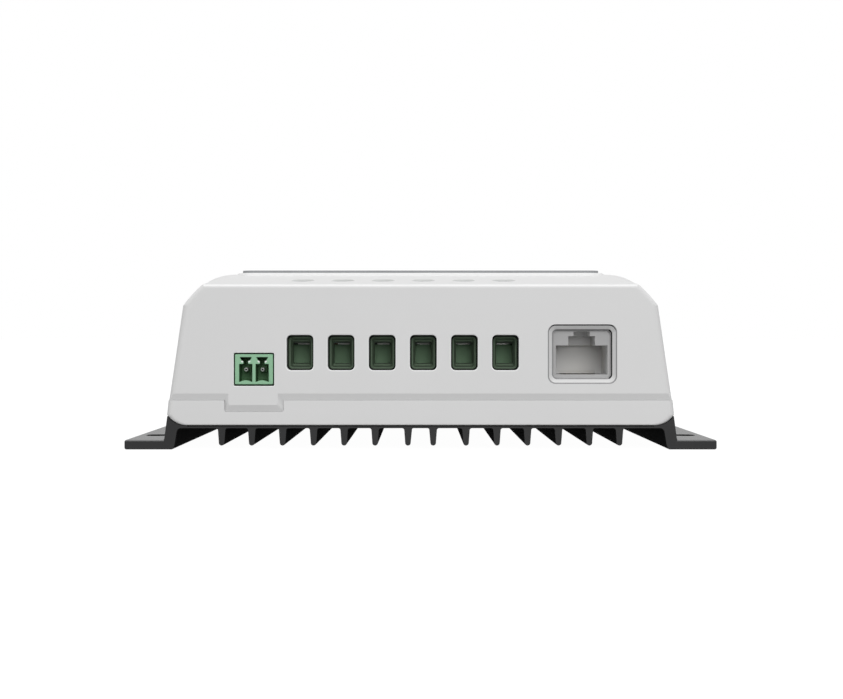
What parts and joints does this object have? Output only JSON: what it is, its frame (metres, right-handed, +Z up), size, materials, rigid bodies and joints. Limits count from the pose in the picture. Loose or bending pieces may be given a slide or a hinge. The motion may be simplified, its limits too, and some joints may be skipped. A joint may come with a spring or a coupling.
{
  "type": "solar charge controller",
  "caption": "Flat charge controller: drafted plastic casing on a finned, flanged heat sink, with screw terminals, a sensor header and a modular jack in its front end, display and keys on top.",
  "frame": {"origin": "centre of the footprint, on the mounting plane under the flanges", "axes": "+Z up out of the display face, -Y towards the terminal end, +X to the right as seen facing the terminal end"},
  "size_m": [0.1372, 0.192, 0.043],
  "materials": {
    "shell": "fine matt moulded texture",
    "sink": "black anodised extrusion, satin",
    "panel": "dark grey printed sheet, semi-gloss",
    "clear": "clear polished window",
    "key": "matt moulded",
    "green": "moulded, slight sheen",
    "block": "dark green, matt",
    "steel": "zinc plated",
    "tin": "tin plated",
    "gold": "gold plated",
    "pcb": "solder mask, semi-gloss",
    "jack": "mid-grey, matt",
    "black": "matt black",
    "lcd": "grey-green liquid crystal cell",
    "white": "translucent white",
    "copper": "enamelled copper wire",
    "ferrite": "sintered, dull dark grey",
    "can": "dark printed sleeve over an aluminium can",
    "pad": "soft grey silicone sheet",
    "ribbon": "ribbed grey insulation"
  },
  "bodies": {
    "case": {"upper_cover": "shell", "lower_housing": "shell", "heat_sink": "sink", "face_panel": "panel", "display_window": "clear", "lcd_cell": "lcd", "lcd_backlight": "white", "display_board": "pcb", "light_guide": "white", "switch_body_up": "black", "switch_body_down": "black", "switch_body_enter": "black", "switch_body_back": "black", "main_board": "pcb", "terminal_housing": "block", "terminal_bar_1": "tin", "terminal_bar_2": "tin", "terminal_bar_3": "tin", "terminal_bar_4": "tin", "terminal_bar_5": "tin", "terminal_bar_6": "tin", "sensor_header": "green", "sensor_pin_1": "tin", "sensor_pin_2": "tin", "jack_housing": "jack", "jack_contacts": "gold", "inductor_core": "ferrite", "inductor_winding": "copper", "capacitor_1": "can", "capacitor_2": "can", "thermal_pad": "pad", "mosfet_1": "black", "mosfet_2": "black", "mosfet_clamp": "steel", "clamp_screw": "steel", "case_screw_1": "steel", "case_screw_2": "steel", "case_screw_3": "steel", "case_screw_4": "steel", "ribbon_cable": "ribbon"},
    "clamp_screw_body_1": {"terminal_screw_1": "steel"},
    "clamp_cage_body_1": {"terminal_cage_1": "tin"},
    "clamp_screw_body_2": {"terminal_screw_2": "steel"},
    "clamp_cage_body_2": {"terminal_cage_2": "tin"},
    "clamp_screw_body_3": {"terminal_screw_3": "steel"},
    "clamp_cage_body_3": {"terminal_cage_3": "tin"},
    "clamp_screw_body_4": {"terminal_screw_4": "steel"},
    "clamp_cage_body_4": {"terminal_cage_4": "tin"},
    "clamp_screw_body_5": {"terminal_screw_5": "steel"},
    "clamp_cage_body_5": {"terminal_cage_5": "tin"},
    "clamp_screw_body_6": {"terminal_screw_6": "steel"},
    "clamp_cage_body_6": {"terminal_cage_6": "tin"},
    "key_body_up": {"key_up": "key", "switch_plunger_up": "black"},
    "key_body_down": {"key_down": "key", "switch_plunger_down": "black"},
    "key_body_enter": {"key_enter": "key", "switch_plunger_enter": "black"},
    "key_body_back": {"key_back": "key", "switch_plunger_back": "black"}
  },
  "joints": [
    {"name": "terminal_screw_turn_1", "type": "hinge", "parent": "case", "child": "clamp_screw_body_1", "pos_m": [-0.02794, -0.0849, 0.034], "axis": [0, 0, -1], "range_deg": [0, 2160]},
    {"name": "terminal_cage_rise_1", "type": "slide", "parent": "case", "child": "clamp_cage_body_1", "axis": [0, 0, 1], "range_m": [0, 0.0042]},
    {"name": "terminal_screw_turn_2", "type": "hinge", "parent": "case", "child": "clamp_screw_body_2", "pos_m": [-0.01842, -0.0849, 0.034], "axis": [0, 0, -1], "range_deg": [0, 2160]},
    {"name": "terminal_cage_rise_2", "type": "slide", "parent": "case", "child": "clamp_cage_body_2", "axis": [0, 0, 1], "range_m": [0, 0.0042]},
    {"name": "terminal_screw_turn_3", "type": "hinge", "parent": "case", "child": "clamp_screw_body_3", "pos_m": [-0.00889, -0.0849, 0.034], "axis": [0, 0, -1], "range_deg": [0, 2160]},
    {"name": "terminal_cage_rise_3", "type": "slide", "parent": "case", "child": "clamp_cage_body_3", "axis": [0, 0, 1], "range_m": [0, 0.0042]},
    {"name": "terminal_screw_turn_4", "type": "hinge", "parent": "case", "child": "clamp_screw_body_4", "pos_m": [0.00064, -0.0849, 0.034], "axis": [0, 0, -1], "range_deg": [0, 2160]},
    {"name": "terminal_cage_rise_4", "type": "slide", "parent": "case", "child": "clamp_cage_body_4", "axis": [0, 0, 1], "range_m": [0, 0.0042]},
    {"name": "terminal_screw_turn_5", "type": "hinge", "parent": "case", "child": "clamp_screw_body_5", "pos_m": [0.01016, -0.0849, 0.034], "axis": [0, 0, -1], "range_deg": [0, 2160]},
    {"name": "terminal_cage_rise_5", "type": "slide", "parent": "case", "child": "clamp_cage_body_5", "axis": [0, 0, 1], "range_m": [0, 0.0042]},
    {"name": "terminal_screw_turn_6", "type": "hinge", "parent": "case", "child": "clamp_screw_body_6", "pos_m": [0.01969, -0.0849, 0.034], "axis": [0, 0, -1], "range_deg": [0, 2160]},
    {"name": "terminal_cage_rise_6", "type": "slide", "parent": "case", "child": "clamp_cage_body_6", "axis": [0, 0, 1], "range_m": [0, 0.0042]},
    {"name": "key_press_up", "type": "slide", "parent": "case", "child": "key_body_up", "axis": [0, 0, -1], "range_m": [0, 0.0005], "stiffness_N_per_m": 600},
    {"name": "key_press_down", "type": "slide", "parent": "case", "child": "key_body_down", "axis": [0, 0, -1], "range_m": [0, 0.0005], "stiffness_N_per_m": 600},
    {"name": "key_press_enter", "type": "slide", "parent": "case", "child": "key_body_enter", "axis": [0, 0, -1], "range_m": [0, 0.0005], "stiffness_N_per_m": 600},
    {"name": "key_press_back", "type": "slide", "parent": "case", "child": "key_body_back", "axis": [0, 0, -1], "range_m": [0, 0.0005], "stiffness_N_per_m": 600}
  ],
  "couplings": [
    {"joint": "terminal_screw_turn_1", "follows": "terminal_cage_rise_1", "rad_per_m": 8975.9},
    {"joint": "terminal_screw_turn_2", "follows": "terminal_cage_rise_2", "rad_per_m": 8975.9},
    {"joint": "terminal_screw_turn_3", "follows": "terminal_cage_rise_3", "rad_per_m": 8975.9},
    {"joint": "terminal_screw_turn_4", "follows": "terminal_cage_rise_4", "rad_per_m": 8975.9},
    {"joint": "terminal_screw_turn_5", "follows": "terminal_cage_rise_5", "rad_per_m": 8975.9},
    {"joint": "terminal_screw_turn_6", "follows": "terminal_cage_rise_6", "rad_per_m": 8975.9}
  ]
}
